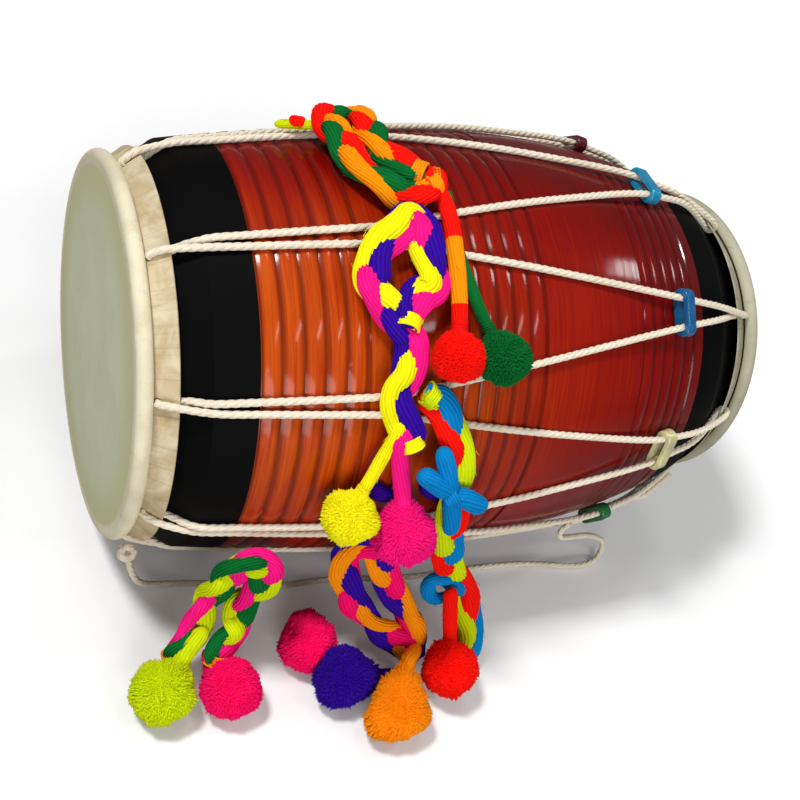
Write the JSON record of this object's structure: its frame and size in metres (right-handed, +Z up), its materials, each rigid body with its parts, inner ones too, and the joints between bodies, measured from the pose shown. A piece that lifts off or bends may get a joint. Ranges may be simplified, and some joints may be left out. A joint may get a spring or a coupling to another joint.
{
  "type": "barrel drum",
  "caption": "Wooden barrel drum with two rope-laced hide heads, sliding tuning rings, a loose rope and braided yarn tassels.",
  "frame": {"origin": "on the floor under the middle of the drum, which lies on its side on its lowest pair of strands", "axes": "+X along the drum's axis from the bass head to the treble head, +Z up"},
  "size_m": [0.6154, 0.5387, 0.4303],
  "materials": {
    "varnished_wood": "glossy varnish",
    "bass_hide": "dry rawhide",
    "treble_hide": "dry rawhide",
    "bamboo": "split and bound",
    "tuning_paste": "dull",
    "cotton_rope": "twisted three-strand",
    "ring_maroon": "glossy",
    "ring_blue": "glossy",
    "ring_cream": "glossy",
    "ring_green": "glossy",
    "yarn_red": "acrylic yarn",
    "yarn_orange": "acrylic yarn",
    "yarn_yellow": "acrylic yarn",
    "yarn_lime": "acrylic yarn",
    "yarn_green": "acrylic yarn",
    "yarn_blue": "acrylic yarn",
    "yarn_indigo": "acrylic yarn",
    "yarn_magenta": "acrylic yarn",
    "yarn_pink": "acrylic yarn"
  },
  "bodies": {
    "drum": {"shell": "varnished_wood", "bass_skin": "bass_hide", "treble_skin": "treble_hide", "bass_hoop": "bamboo", "treble_hoop": "bamboo", "bass_collar": "bass_hide", "treble_collar": "treble_hide", "bass_paste": "tuning_paste", "strand_over_1": "cotton_rope", "strand_under_1": "cotton_rope", "strand_over_2": "cotton_rope", "strand_under_2": "cotton_rope", "strand_over_3": "cotton_rope", "strand_under_3": "cotton_rope", "strand_over_4": "cotton_rope", "strand_under_4": "cotton_rope", "strand_over_5": "cotton_rope", "strand_under_5": "cotton_rope", "strand_over_6": "cotton_rope", "strand_under_6": "cotton_rope", "strand_over_7": "cotton_rope", "strand_under_7": "cotton_rope", "strand_over_8": "cotton_rope", "strand_under_8": "cotton_rope", "strand_over_9": "cotton_rope", "strand_under_9": "cotton_rope", "lacing_knot": "cotton_rope", "lacing_tail": "cotton_rope", "loose_rope": "cotton_rope", "braid_top": "yarn_orange", "braid_centre": "yarn_magenta", "braid_front": "yarn_red", "braid_floor": "yarn_orange", "braid_left": "yarn_pink", "tassel_red_upper": "yarn_red", "tassel_green": "yarn_green", "tassel_yellow": "yarn_yellow", "tassel_magenta": "yarn_magenta", "tassel_red_lower": "yarn_red", "tassel_orange": "yarn_orange", "tassel_indigo": "yarn_indigo", "tassel_pink": "yarn_pink", "tassel_lime": "yarn_lime", "tassel_rose": "yarn_pink", "braid_top_knot": "yarn_red", "yarn_tip": "yarn_lime", "bow_knot": "yarn_blue"},
    "ring_1": {"tuning_ring_1": "ring_maroon"},
    "ring_2": {"tuning_ring_2": "ring_blue"},
    "ring_3": {"tuning_ring_3": "ring_blue"},
    "ring_4": {"tuning_ring_4": "ring_cream"},
    "ring_5": {"tuning_ring_5": "ring_green"},
    "ring_6": {"tuning_ring_6": "ring_blue"},
    "ring_7": {"tuning_ring_7": "ring_maroon"},
    "ring_8": {"tuning_ring_8": "ring_cream"},
    "ring_9": {"tuning_ring_9": "ring_blue"}
  },
  "joints": [
    {"name": "ring_1_slide", "type": "slide", "parent": "drum", "child": "ring_1", "axis": [0.9702, -0.1557, -0.1855], "range_m": [0, 0.034]},
    {"name": "ring_2_slide", "type": "slide", "parent": "drum", "child": "ring_2", "axis": [0.9702, 0, -0.2422], "range_m": [0, 0.034]},
    {"name": "ring_3_slide", "type": "slide", "parent": "drum", "child": "ring_3", "axis": [0.9702, 0.1557, -0.1855], "range_m": [0, 0.034]},
    {"name": "ring_4_slide", "type": "slide", "parent": "drum", "child": "ring_4", "axis": [0.9702, 0.2385, -0.0421], "range_m": [0, 0.034]},
    {"name": "ring_5_slide", "type": "slide", "parent": "drum", "child": "ring_5", "axis": [0.9702, 0.2097, 0.1211], "range_m": [0, 0.034]},
    {"name": "ring_6_slide", "type": "slide", "parent": "drum", "child": "ring_6", "axis": [0.9702, 0.0828, 0.2276], "range_m": [0, 0.034]},
    {"name": "ring_7_slide", "type": "slide", "parent": "drum", "child": "ring_7", "axis": [0.9702, -0.0828, 0.2276], "range_m": [0, 0.034]},
    {"name": "ring_8_slide", "type": "slide", "parent": "drum", "child": "ring_8", "axis": [0.9702, -0.2097, 0.1211], "range_m": [0, 0.034]},
    {"name": "ring_9_slide", "type": "slide", "parent": "drum", "child": "ring_9", "axis": [0.9702, -0.2385, -0.0421], "range_m": [0, 0.034]}
  ]
}
